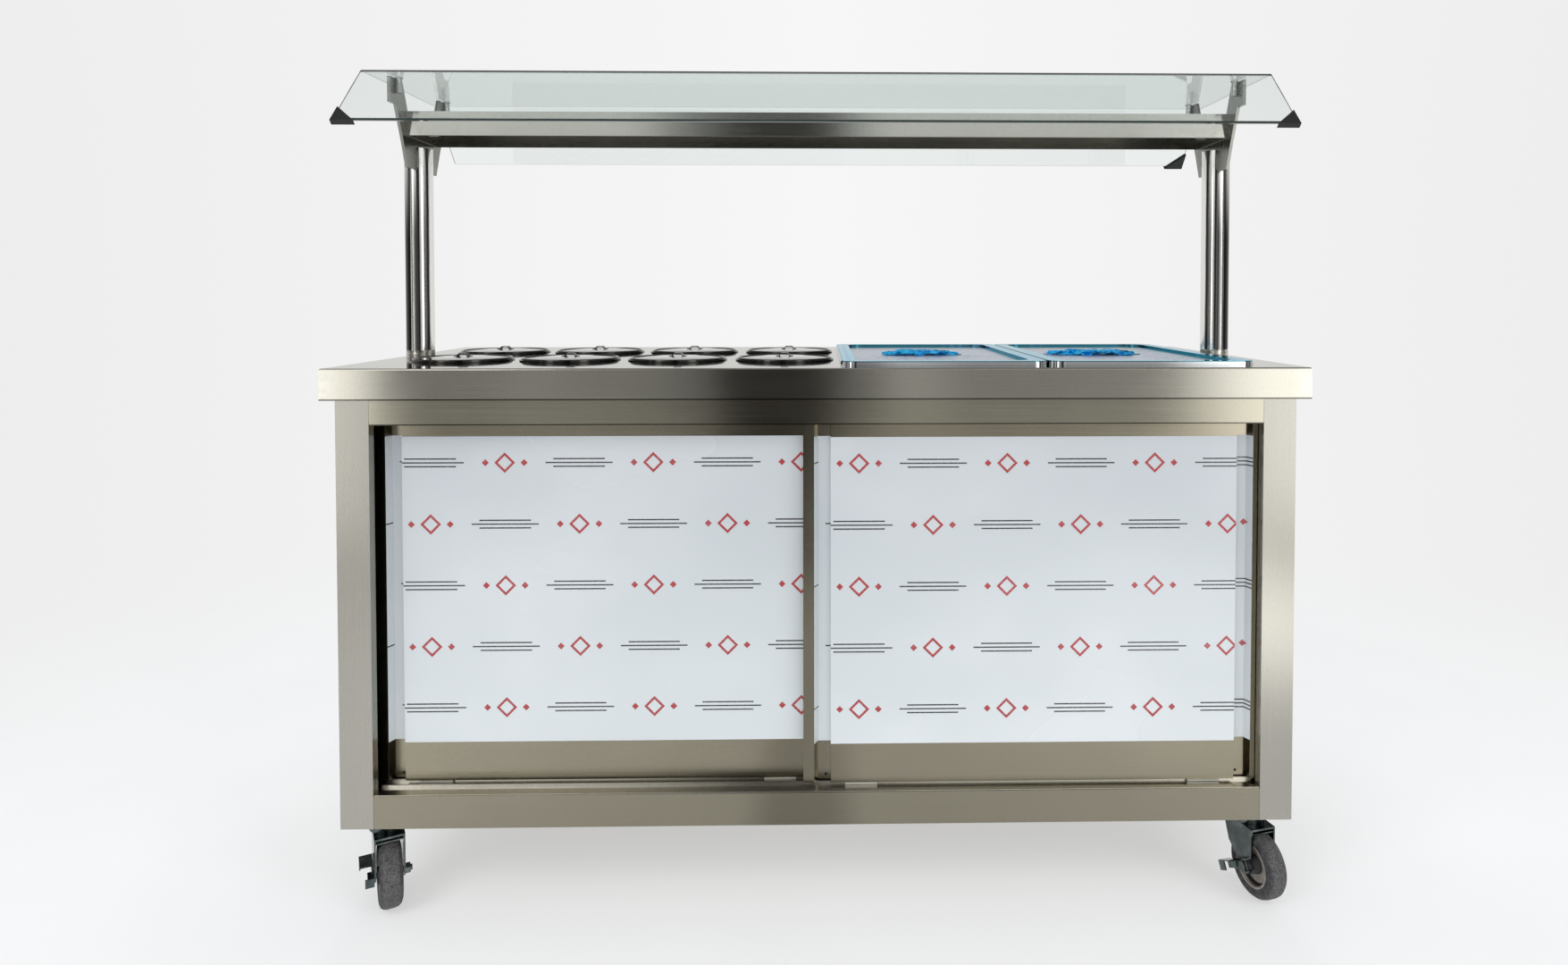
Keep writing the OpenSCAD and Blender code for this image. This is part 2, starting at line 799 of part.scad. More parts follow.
module film(face) {
    translate([0, face, door_z0 + film_low])
        linear_extrude(height = door_z1 - door_z0 - film_low - film_high)
            film_outline(door_w);
}

module film_left() {
    color(film_white) translate([-door_x_out, 0, 0]) film(face_left);
}

module film_right() {
    color(film_white) translate([door_x_out - door_w, 0, 0]) film(face_right);
}

// grooved glide blocks in the hollow of a door, one near each edge
module glides(face) {
    w = door_t - 2 * door_skin;
    z0 = track_top_z + glide_gap;
    gz = rib_top + seat;
    for (x = [glide_in, door_w - glide_in])
        translate([x - glide_l / 2, face + door_skin, 0]) difference() {
            slab([0, 0, z0], [glide_l, w, door_z0 + 14 - z0]);
            slab([-1, w / 2 - rib_w / 2 - glide_gap, z0 - 1],
                [glide_l + 2, rib_w + 2 * glide_gap, gz - z0 + 1]);
        }
}

module glides_left() {
    color([0.9, 0.9, 0.87]) translate([-door_x_out, 0, 0]) glides(face_left);
}

module glides_right() {
    color([0.9, 0.9, 0.87]) translate([door_x_out - door_w, 0, 0]) glides(face_right);
}

module pot(i, y) {
    r = pot_d / 2;
    w = pot_wall;
    color(bright) translate([pot_x(i), y, counter_h]) rotate_extrude($fn = 96)
        polygon([[0, -pot_h], [r, -pot_h], [r, 0], [pot_flange_d / 2, 0],
            [pot_flange_d / 2, pot_rim], [r - w, pot_rim], [r - w, -pot_h + w],
            [0, -pot_h + w]]);
}

module lid(i, y) {
    r = pot_d / 2 - pot_wall - lid_clear;
    e = lid_edge;
    n = lid_rise;
    color(bright) translate([pot_x(i), y, counter_h + pot_rim]) union() {
        rotate_extrude($fn = 96)
            polygon([[0, n - 1], [r * 0.55, n - 1.5], [r - 2, e - 1], [r - 1, -lid_ring],
                [r, -lid_ring], [r, 0], [lid_d / 2, 0], [lid_d / 2, e * 0.7],
                [lid_d / 2 - 1, e], [r - 1, e + 0.2], [r * 0.55, n - 0.5], [0, n]]);
        translate([0, knob_w / 2, n - 0.6]) rotate([90, 0, 0])
            linear_extrude(height = knob_w) knob_outline();
        translate([0, 0, -rivet_low])
            cylinder(d = rivet_d, h = n - 0.8 + rivet_low, $fn = 32);
    }
}

// strap bent up between two feet
module knob_outline() {
    a = knob_l / 2;
    h = knob_h;
    t = 1.4;
    b = a * 0.66;
    c = a * 0.36;
    polygon([[-a, 0], [-b, 0], [-c, h - t], [c, h - t], [b, 0], [a, 0], [a, t],
        [b + t * 0.6, t], [c + t * 0.6, h], [-c - t * 0.6, h], [-b - t * 0.6, t], [-a, t]]);
}

module pot_f1() { pot(1, -pot_y); }
module pot_f2() { pot(2, -pot_y); }
module pot_f3() { pot(3, -pot_y); }
module pot_f4() { pot(4, -pot_y); }
module pot_r1() { pot(1, pot_y); }
module pot_r2() { pot(2, pot_y); }
module pot_r3() { pot(3, pot_y); }
module pot_r4() { pot(4, pot_y); }
module lid_f1() { lid(1, -pot_y); }
module lid_f2() { lid(2, -pot_y); }
module lid_f3() { lid(3, -pot_y); }
module lid_f4() { lid(4, -pot_y); }
module lid_r1() { lid(1, pot_y); }
module lid_r2() { lid(2, pot_y); }
module lid_r3() { lid(3, pot_y); }
module lid_r4() { lid(4, pot_y); }

module pan(i) {
    w = pan_wall;
    color(bright) translate([pan_x(i), 0, counter_h]) difference() {
        union() {
            linear_extrude(height = pan_rim) round_rect(pan_w, pan_l, pan_r);
            translate([0, 0, -pan_h]) linear_extrude(height = pan_h + eps)
                round_rect(pan_body_w, pan_body_l, pan_body_r);
        }
        translate([0, 0, -pan_h + w]) linear_extrude(height = pan_h + pan_rim)
            round_rect(pan_body_w - 2 * w, pan_body_l - 2 * w, pan_body_r - w);
        translate([0, 0, -1]) linear_extrude(height = pan_rim) difference() {
            round_rect(pan_w - 2 * w, pan_l - 2 * w, pan_r - w);
            round_rect(pan_body_w, pan_body_l, pan_body_r);
        }
    }
}

module pan_lid(i) {
    t = 1.2;
    d = pan_lid_recess;
    lw = pan_w - 2 * pan_lid_in;
    ll = pan_l - 2 * pan_lid_in;
    rw = pan_w - 2 * pan_lid_border;
    rl = pan_l - 2 * pan_lid_border;
    r = pan_body_r;
    color([0.72, 0.84, 0.9]) translate([pan_x(i), 0, counter_h + pan_rim + t]) union() {
        difference() {
            union() {
                translate([0, 0, -t]) linear_extrude(height = t) round_rect(lw, ll, pan_r);
                translate([0, 0, -d - t]) linear_extrude(height = d + eps)
                    round_rect(rw, rl, r);
            }
            translate([0, 0, -d]) linear_extrude(height = d + 1)
                round_rect(rw - 2 * t, rl - 2 * t, r - t);
        }
        translate([0, pan_handle_w / 2, -d - 0.2]) rotate([90, 0, 0])
            linear_extrude(height = pan_handle_w) handle_outline();
    }
}

module handle_outline() {
    a = pan_handle_l / 2;
    h = pan_handle_h;
    t = 2;
    polygon([[-a, 0], [-a + 14, 0], [-a + 24, h - t], [a - 24, h - t], [a - 14, 0], [a, 0],
        [a, t], [a - 13, t], [a - 23, h], [-a + 23, h], [-a + 13, t], [-a, t]]);
}

module pan_1() { pan(1); }
module pan_2() { pan(2); }
module pan_lid_1() { pan_lid(1); }
module pan_lid_2() { pan_lid(2); }

// side view of a fork arm: first coordinate towards the axle, second height
module arm_outline() {
    polygon([[-fork_back, crown_top], [trail + fork_nose, crown_top],
        [trail + fork_nose, axle_z + 5],
        [trail + 8, axle_z - 5], [trail + 2, axle_z - 10], [trail - 6, axle_z - 10],
        [trail - 24, axle_z + 3], [-13, axle_z + 20]]);
}

// fork with its heading along -y, and the axle bolt through both arms
module fork(braked) {
    grip = braked ? lever_out + seat : fork_out + nut_gap;
    color(zinc) union() {
        for (s = [-1, 1]) translate([s * (fork_inner / 2 + fork_t / 2), 0, 0])
            rotate([90, 0, -90]) translate([0, 0, -fork_t / 2]) difference() {
                linear_extrude(height = fork_t) arm_outline();
                translate([trail, axle_z, -1])
                    cylinder(d = axle_d + 2 * pin_gap, h = fork_t + 2, $fn = 32);
            }
        difference() {
            slab([-fork_out, -trail - fork_nose, crown_top - crown_t],
                [2 * fork_out, trail + fork_nose + fork_back, crown_t]);
            translate([0, 0, crown_top - crown_t - 1])
                cylinder(d = king_d + 2 * pin_gap, h = crown_t + 2, $fn = 48);
        }
        if (braked)
            slab([-fork_inner / 2 - eps, -trail - 9, wheel_d + 1.5],
                [fork_inner + 2 * eps, 22, 2]);
    }
    color(zinc) translate([-grip, -trail, axle_z]) rotate([0, 90, 0])
        hex_bolt(axle_d, grip + fork_out + nut_gap, 3);
}

module wheel() {
    h = wheel_w / 2;
    r = wheel_d / 2;
    b = axle_d / 2 + pin_gap;
    translate([0, -trail, axle_z]) rotate([0, 90, 0]) {
        rotate_extrude($fn = 72)
            polygon([[hub_d / 2 + 0.05, -h + 2], [r - 9, -h], [r - 4, -h + 2], [r - 1, -h + 6],
                [r, -h + 11], [r, h - 11], [r - 1, h - 6], [r - 4, h - 2], [r - 9, h],
                [hub_d / 2 + 0.05, h - 2]]);
        rotate_extrude($fn = 48)
            polygon([[b, -hub_w / 2], [b + 8, -hub_w / 2], [b + 9, -5], [hub_d / 2 - 5, -5],
                [hub_d / 2 - 3, -h + 2], [hub_d / 2, -h + 2], [hub_d / 2, h - 2],
                [hub_d / 2 - 3, h - 2], [hub_d / 2 - 5, 5], [b + 9, 5], [b + 8, hub_w / 2],
                [b, hub_w / 2]]);
    }
}

// lever on the axle bolt, outside the left fork arm, its pedal folded outwards
module brake(tilt) {
    translate([0, -trail, axle_z]) rotate([tilt, 0, 0]) color(zinc) difference() {
        union() {
            translate([-lever_out, 0, 0]) rotate([0, 90, 0])
                cylinder(d = 22, h = lever_t, $fn = 48);
            slab([-lever_out, -20, -4], [lever_t, lever_l + 20, 14]);
            slab([-lever_out - 10, -20, -4], [10 + eps, 2, 14]);
            slab([-lever_out - lever_w, 14, 8], [lever_w + eps, lever_l - 14, 2]);
            slab([-lever_out - lever_w, lever_l - 14, -5], [2, 14, 15]);
        }
        translate([-lever_out - 1, 0, 0]) rotate([0, 90, 0])
            cylinder(d = axle_d + 2 * pin_gap, h = lever_t + 2, $fn = 32);
    }
}

module at_fl() { translate([-caster_x, -caster_y, 0]) rotate([0, 0, turn_fl]) children(); }
module at_fr() { translate([caster_x, -caster_y, 0]) rotate([0, 0, turn_fr]) children(); }
module at_rl() { translate([-caster_x, caster_y, 0]) rotate([0, 0, turn_rl]) children(); }
module at_rr() { translate([caster_x, caster_y, 0]) rotate([0, 0, turn_rr]) children(); }

module fork_fl() { at_fl() fork(true); }
module fork_fr() { at_fr() fork(true); }
module fork_rl() { at_rl() fork(false); }
module fork_rr() { at_rr() fork(false); }
module wheel_fl() { color([0.25, 0.25, 0.25]) at_fl() wheel(); }
module wheel_fr() { color([0.25, 0.25, 0.25]) at_fr() wheel(); }
module wheel_rl() { color([0.25, 0.25, 0.25]) at_rl() wheel(); }
module wheel_rr() { color([0.25, 0.25, 0.25]) at_rr() wheel(); }
module brake_fl() { at_fl() brake(lever_fl); }
module brake_fr() { at_fr() brake(lever_fr); }

countertop();
corner_posts();
rail_top_front();
rail_base_front();
base_rails();
side_left();
side_right();
back_panel();
deck();
track_top();
track_strips();
track_bottom();
upright_left();
upright_right();
bracket_left();
bracket_right();
glass_studs();
glass_pads();
overshelf();
shelf_bolts();
hood_glass();
corner_caps();
caster_plates();
plate_bolts();
door_left();
door_right();
film_left();
film_right();
glides_left();
glides_right();
pot_f1();
pot_f2();
pot_f3();
pot_f4();
pot_r1();
pot_r2();
pot_r3();
pot_r4();
lid_f1();
lid_f2();
lid_f3();
lid_f4();
lid_r1();
lid_r2();
lid_r3();
lid_r4();
pan_1();
pan_2();
pan_lid_1();
pan_lid_2();
fork_fl();
fork_fr();
fork_rl();
fork_rr();
wheel_fl();
wheel_fr();
wheel_rl();
wheel_rr();
brake_fl();
brake_fr();
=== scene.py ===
import json
import math
import random

import bmesh
import bpy
from mathutils import Matrix, Vector, noise


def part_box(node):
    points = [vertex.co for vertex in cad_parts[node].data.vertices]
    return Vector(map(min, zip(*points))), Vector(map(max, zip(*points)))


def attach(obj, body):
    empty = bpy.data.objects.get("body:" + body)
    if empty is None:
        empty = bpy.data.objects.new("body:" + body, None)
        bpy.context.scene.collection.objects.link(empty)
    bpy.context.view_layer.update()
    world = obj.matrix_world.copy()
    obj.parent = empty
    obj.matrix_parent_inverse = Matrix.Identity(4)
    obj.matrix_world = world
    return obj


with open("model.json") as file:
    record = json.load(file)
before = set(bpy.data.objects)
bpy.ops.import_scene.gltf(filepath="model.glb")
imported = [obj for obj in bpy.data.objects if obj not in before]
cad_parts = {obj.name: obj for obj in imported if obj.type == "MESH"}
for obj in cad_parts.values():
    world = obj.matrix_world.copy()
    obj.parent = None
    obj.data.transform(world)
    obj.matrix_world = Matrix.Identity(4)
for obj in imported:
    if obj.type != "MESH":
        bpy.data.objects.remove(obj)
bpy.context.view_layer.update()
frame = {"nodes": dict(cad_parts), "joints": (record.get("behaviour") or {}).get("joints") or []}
nodes = frame["nodes"]
scene = bpy.context.scene

# Camera: the photograph's standpoint, a little above the counter, turned one degree to the right.
EYE = (0.00344, -1.76617, 0.94679)
YAW, PITCH = 0.0195, 0.0264
SENSOR_WIDTH, FOCAL_LENGTH = 36.0, 22.342
SHIFT_X, SHIFT_Y = -0.0366, -0.1034

# Steel colours
WARM = (0.37, 0.35, 0.28)
COOL = (0.42, 0.405, 0.36)
IN_SHADE = (0.03, 0.028, 0.024)
GROUND = (0.62, 0.62, 0.60)

# Pattern on the door film: spacing of its rows and columns, in metres
ROW, COLUMN = 0.096, 0.23
DOT_RED = (0.33, 0.012, 0.016)
DASH_BLACK = (0.018, 0.018, 0.02)

# Studio, in metres
FLOOR_RADIUS = 5.0
SURROUND_RADIUS, SURROUND_HEIGHT = 3.4, 2.8
SURROUND_HALF = 100
FLAG_Y = -2.0
MARK_Z = 0.001

ROWS = "fr"
COLUMNS = range(1, 5)


def make_camera():
    data = bpy.data.cameras.new("camera")
    data.sensor_fit = "HORIZONTAL"
    data.sensor_width = SENSOR_WIDTH
    data.lens = FOCAL_LENGTH
    data.shift_x, data.shift_y = SHIFT_X, SHIFT_Y
    data.clip_start, data.clip_end = 0.05, 200.0
    cam = bpy.data.objects.new("camera", data)
    scene.collection.objects.link(cam)
    level = math.cos(PITCH)
    ahead = Vector((math.sin(YAW) * level, math.cos(YAW) * level, -math.sin(PITCH)))
    right = Vector((math.cos(YAW), -math.sin(YAW), 0.0))
    up = right.cross(ahead)
    turn = Matrix((right, up, -ahead)).transposed().to_4x4()
    cam.matrix_world = Matrix.Translation(EYE) @ turn
    scene.camera = cam


# A value inside a node tree, so that formulas can be written out plainly.
class Value:
    def __init__(self, shader, socket):
        self.shader = shader
        self.socket = socket


def operation(kind, swapped=False):
    def run(self, other=0.0):
        a, b = (other, self) if swapped else (self, other)
        return self.shader.math(kind, a, b)
    return run


for method, kind in (("add", "ADD"), ("sub", "SUBTRACT"), ("mul", "MULTIPLY"), ("truediv", "DIVIDE")):
    setattr(Value, "__%s__" % method, operation(kind))
    setattr(Value, "__r%s__" % method, operation(kind, True))
for method, kind in (("gt", "GREATER_THAN"), ("lt", "LESS_THAN"), ("abs", "ABSOLUTE")):
    setattr(Value, "__%s__" % method, operation(kind))


# A small builder for node trees of materials, and of the world where one is given.
class Shader:
    def __init__(self, name, world=None):
        self.mat = world or bpy.data.materials.new(name)
        self.mat.use_nodes = True
        self.tree = self.mat.node_tree
        self.tree.nodes.clear()
        self.out = self.add("ShaderNodeOutputWorld" if world else "ShaderNodeOutputMaterial")
        self.coord = self.get("ShaderNodeTexCoord", "Generated" if world else "Object")
        self.bsdf = None

    def add(self, kind, props=None, **ins):
        n = self.tree.nodes.new(kind)
        for k, v in (props or {}).items():
            setattr(n, k, v)
        for k, v in ins.items():
            self.put(n.inputs[k.replace("_", " ")], v)
        return n

    def get(self, kind, output=0, props=None, **ins):
        return Value(self, self.add(kind, props, **ins).outputs[output])

    def put(self, socket, v):
        if isinstance(v, Value):
            self.tree.links.new(v.socket, socket)
        elif socket.type == "RGBA" and len(v) == 3:
            socket.default_value = (*v, 1)
        else:
            socket.default_value = v

    def math(self, op, a, b=0.0):
        n = self.add("ShaderNodeMath", {"operation": op})
        self.put(n.inputs[0], a)
        self.put(n.inputs[1], b)
        return Value(self, n.outputs[0])

    def most(self, a, b):
        return self.math("MAXIMUM", a, b)

    def least(self, a, b):
        return self.math("MINIMUM", a, b)

    def floor(self, a):
        return self.math("FLOOR", a)

    def vec(self, op, a, b=(0, 0, 0)):
        n = self.add("ShaderNodeVectorMath", {"operation": op})
        self.put(n.inputs[0], a)
        self.put(n.inputs["Scale"] if op == "SCALE" else n.inputs[1], b)
        return Value(self, n.outputs["Value" if op in ("LENGTH", "DOT_PRODUCT") else 0])

    def length(self, x, y):
        return self.vec("LENGTH", self.get("ShaderNodeCombineXYZ", X=x, Y=y, Z=0.0))

    def parts(self, v=None):
        n = self.add("ShaderNodeSeparateXYZ", Vector=v or self.coord)
        return [Value(self, o) for o in n.outputs]

    def normal(self):
        return self.parts(self.get("ShaderNodeTexCoord", "Normal"))

    # Azimuth about the middle, 0.5 straight ahead of the doors, and 0 to 1 over the given full angle
    def azimuth(self, full):
        x, y, z = self.parts()
        return self.math("ARCTAN2", x, y * -1.0) / math.radians(full) + 0.5

    def noise(self, scale, detail=2.0, rough=0.5):
        scale = scale if isinstance(scale, tuple) else (scale,) * 3
        return self.get("ShaderNodeTexNoise", Vector=self.vec("MULTIPLY", self.coord, scale),
                        Scale=1.0, Detail=detail, Roughness=rough)

    def span(self, v, lo, hi, a=0.0, b=1.0, smooth=True):
        n = self.add("ShaderNodeMapRange", {"interpolation_type": "SMOOTHSTEP" if smooth else "LINEAR"})
        for s, x in zip(n.inputs, (v, lo, hi, a, b)):
            self.put(s, x)
        return Value(self, n.outputs[0])

    def fall(self, v, lo, hi):
        return self.span(v, lo, hi, 1.0, 0.0)

    def ramp(self, v, stops, mode="LINEAR"):
        n = self.add("ShaderNodeValToRGB", Fac=v)
        n.color_ramp.interpolation = mode
        e = n.color_ramp.elements
        while len(e) < len(stops):
            e.new(0.5)
        for el, (p, c) in zip(e, stops):
            el.position = p
            el.color = (c, c, c, 1) if isinstance(c, float) else (*c, 1)
        return Value(self, n.outputs[0])

    def mix(self, f, a, b, mode="MIX"):
        n = self.add("ShaderNodeMix", {"data_type": "RGBA", "blend_type": mode})
        self.put(n.inputs[0], f)
        self.put(n.inputs[6], a)
        self.put(n.inputs[7], b)
        return Value(self, n.outputs[2])

    def grey(self, v):
        return self.get("ShaderNodeCombineColor", Red=v, Green=v, Blue=v)

    def bump(self, height, strength, distance):
        return self.get("ShaderNodeBump", Height=height, Strength=strength, Distance=distance)

    # One where the ray has met a mirroring surface before, else zero
    def mirrored(self):
        return self.get("ShaderNodeLightPath", "Glossy Depth") > 0.5

    def glow(self, color, strength=1.0):
        return self.add("ShaderNodeEmission", Color=color, Strength=strength)

    def clear(self):
        return self.add("ShaderNodeBsdfTransparent")

    def blend(self, f, a, b):
        n = self.add("ShaderNodeMixShader", Fac=f)
        self.tree.links.new(a.outputs[0], n.inputs[1])
        self.tree.links.new(b.outputs[0], n.inputs[2])
        return n

    def finish(self, node, socket="Surface"):
        self.tree.links.new(node.outputs[0], self.out.inputs[socket])
        return self.mat

    def surface(self, **ins):
        self.bsdf = self.add("ShaderNodeBsdfPrincipled", **ins)
        return self.finish(self.bsdf)


# Ramp stops from angles in degrees
def by_angle(stops, full=360.0):
    return [(0.5 + a / full, v) for a, v in stops]


# Brushed steel: fine grain along one axis, faint mottling, grind marks at welded corners, and painted shade where a
# mask is given.
def steel(name, color, rough, grain, aniso=0.6, marks=None, shiny=None, painted_shade=None):
    s = Shader(name)
    along, across = 5.0, 900.0
    lines = s.noise(tuple(along if axis == grain else across for axis in "xyz"), 3, 0.6)
    mottle = s.noise(420, 2, 0.6)
    cloud = s.noise(7, 3, 0.55)
    tone = lines * 0.16 + mottle * 0.22 + cloud * 0.16 + 0.73
    col = s.mix(1.0, color, s.grey(tone), "MULTIPLY")
    r = lines * 0.10 + cloud * 0.08 + (rough - 0.09)
    h = lines * 0.5 + mottle * 0.35
    if marks:
        m = marks(s)
        swirl = s.noise(60, 4, 0.7)
        r = r + m * s.span(swirl, 0.35, 0.65, -0.02, 0.06)
        col = s.mix(m * 0.18, col, GROUND)
    if shiny:
        m = shiny(s)
        r = r * (1.0 - m * 0.62)
        h = h * (1.0 - m * 0.8)
    # Painted shade: the mask darkens the colour towards IN_SHADE.
    if painted_shade:
        col = s.mix(painted_shade(s), col, IN_SHADE)
    tangent = s.get("ShaderNodeTangent", 0, {"direction_type": "RADIAL", "axis": "Z"})
    return s.surface(Base_Color=col, Metallic=1.0, Roughness=r, Normal=s.bump(h, 0.10, 0.0004), Tangent=tangent,
                     Anisotropic=aniso, Anisotropic_Rotation=0.0 if grain == "z" else 0.25)


# Polished steel: nearly a mirror, with hairlines and the faint waviness of thin sheet, and painted shade where a mask
# is given.
def polished(name, color, rough, wave, painted_shade=None):
    s = Shader(name)
    fine = s.noise(300, 2, 0.6)
    big = s.noise(9, 2, 0.5)
    hair = s.noise((4, 700, 700), 2, 0.5)
    r = rough + s.span(hair, 0.55, 0.75) * 0.06
    col = s.mix(s.span(fine, 0.3, 0.7), tuple(c * 0.95 for c in color), color)
    # Painted shade: darker and rougher where the mask is.
    if painted_shade:
        m = painted_shade(s)
        col = s.mix(m, col, (0.035, 0.034, 0.032))
        r = r + m * 0.12
    h = big * wave + hair * 0.004
    return s.surface(Base_Color=col, Metallic=1.0, Roughness=r, Normal=s.bump(h, 0.25, 0.002))


# Mirror-polished tube: painted reflections in long dark and light stretches about its axis, which change with the
# height, and a ground foot. An angle of 0 faces the front, and the angles grow towards the counter's middle.
def tube_steel_painted_reflections():
    low = [(-180, 0.6), (-110, 0.6), (-100, 0.06), (-45, 0.05), (-18, 0.05), (-14, 0.85), (-8, 0.85),
           (-4, 0.14), (3, 0.22), (9, 0.10), (15, 0.26), (20, 0.12), (24, 0.95), (33, 0.95), (37, 0.42),
           (49, 0.42), (53, 0.04), (60, 0.05), (66, 0.95), (180, 0.9)]
    top = [(-180, 0.7), (-100, 0.7), (-60, 0.75), (-26, 0.65), (-20, 0.07), (-14, 0.07), (-9, 0.95), (8, 0.95),
           (12, 0.30), (22, 0.20), (26, 0.95), (44, 0.95), (49, 0.35), (53, 0.08), (60, 0.08), (66, 0.95),
           (180, 0.9)]
    s = Shader("tube_steel_painted_reflections")
    lo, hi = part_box("upright_left")
    x, y, z = s.parts()
    inward = abs(lo[0] + hi[0]) / 2 - abs(x)
    turn = s.math("ARCTAN2", inward, y * -1.0)
    sway = (s.noise((0, 0, 7), 3, 0.6) - 0.5) * 0.14
    t = (turn + sway) / (2 * math.pi) + 0.5
    rise = s.span(z, lo[2], hi[2], smooth=False)
    # Painted reflections: the tone follows the angle about the tube and the height.
    tone = s.mix(s.span(rise, 0.55, 1.0), s.ramp(t, by_angle(low)), s.ramp(t, by_angle(top)))
    foot = s.span(z, lo[2] + 0.0125, lo[2] + 0.0105)
    swirl = s.noise((110, 110, 160), 3, 0.7)
    ground = s.mix(s.span(swirl, 0.4, 0.6), (0.30, 0.29, 0.26), (0.72, 0.71, 0.68))
    col = s.mix(1.0, s.mix(foot, tone, ground), (1.0, 0.985, 0.95), "MULTIPLY")
    r = 0.10 + s.noise((700, 700, 5), 2, 0.5) * 0.06 + foot * 0.12
    return s.surface(Base_Color=col, Metallic=1.0, Roughness=r, Normal=s.bump(swirl, 0.05, 0.0004))


# Zinc plating: cloudy, with a faint warm tint in places.
def zinc(name, color, rough):
    s = Shader(name)
    spots = s.noise(160, 3, 0.6)
    cloud = s.noise(45, 3, 0.6)
    col = s.mix(s.span(cloud, 0.35, 0.65), tuple(c * 0.72 for c in color), color)
    col = s.mix(s.span(cloud, 0.55, 0.7) * 0.18, col, (0.62, 0.58, 0.50))
    r = spots * 0.18 + (rough - 0.08)
    return s.surface(Base_Color=col, Metallic=1.0, Roughness=r, Normal=s.bump(spots, 0.12, 0.0006))


# Toughened glass: clear, with dark green cut edges.
def glass():
    s = Shader("tempered_glass")
    s.surface(Base_Color=(1.0, 1.0, 1.0), Roughness=0.0, IOR=1.5, Transmission_Weight=1.0)
    nx, ny, nz = s.normal()
    px, py, pz = s.parts()
    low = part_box("hood_glass")[0][2]
    front = (pz < low + 0.0028) * (py < 0.0)
    back = (nz < -0.9) * (pz < low + 0.001) * 0.4
    ends = (abs(nx) > 0.8) * 0.85
    cut = s.most(s.most(front, back), ends)
    edge = s.add("ShaderNodeBsdfPrincipled", Base_Color=(0.0, 0.020, 0.015), Roughness=0.12)
    s.finish(s.add("ShaderNodeVolumeAbsorption", Color=(0.0, 0.467, 0.333), Density=14.0), "Volume")
    return s.finish(s.blend(cut, s.bsdf, edge))


def plastic(name, color, rough, bumps, coat=0.0):
    s = Shader(name)
    fine = s.noise(300, 3, 0.6)
    cloud = s.noise(25, 2, 0.5)
    col = s.mix(s.span(cloud, 0.3, 0.7), tuple(c * 0.85 for c in color), color)
    r = fine * 0.12 + (rough - 0.06)
    return s.surface(Base_Color=col, Roughness=r, Normal=s.bump(fine, bumps, 0.0004), Coat_Weight=coat)


# Protective film on the doors: cool white, with rows of plain red diamonds and black dashes.
def door_film(name, shift):
    s = Shader(name)
    x, y, z = s.parts()
    wave = s.noise((2.0, 2.0, 2.6), 3, 0.5)
    crease = s.noise((1.2, 40, 30), 3, 0.6)
    col = s.mix(s.span(wave, 0.35, 0.65), (0.545, 0.580, 0.600), (0.605, 0.636, 0.652))
    # Painted light from below: lighter towards the bottom, painted shade towards the top.
    painted_light_fade = s.ramp(s.span(z, 0.2, 0.76, smooth=False), [(0.0, (1.10, 1.10, 1.09)), (1.0, (0.84, 0.84, 0.85))])
    col = s.mix(1.0, col, painted_light_fade, "MULTIPLY")

    # Place inside one cell of the pattern. Each second row is shifted by half a cell.
    row = (z + 0.034) / ROW
    number = s.floor(row)
    up = abs((row - number - 0.5) * ROW)
    odd = abs(s.math("MODULO", number, 2.0))
    column = (x + shift + odd * (COLUMN / 2)) / COLUMN
    across = abs((column - s.floor(column) - 0.5) * COLUMN)

    ring = abs(across + up - 0.0135) < 0.0026
    small = abs(across - 0.030) + up < 0.0055
    diamonds = s.most(ring, small)
    beside = COLUMN / 2 - across
    outer = (abs(up - 0.006) < 0.0011) * (beside < 0.040)
    middle = (up < 0.0011) * (beside < 0.052)
    dashes = s.most(outer, middle)
    ink = s.span(s.noise(500, 2, 0.6), 0.25, 0.5, 0.72, 0.96)
    col = s.mix(diamonds * ink, col, DOT_RED)
    col = s.mix(dashes * ink, col, DASH_BLACK)
    return s.surface(Base_Color=col, Roughness=s.span(wave, 0.3, 0.7, 0.20, 0.30),
                     Normal=s.bump(wave + crease * 0.16, 0.18, 0.004), Coat_Weight=0.25, Coat_Roughness=0.08)


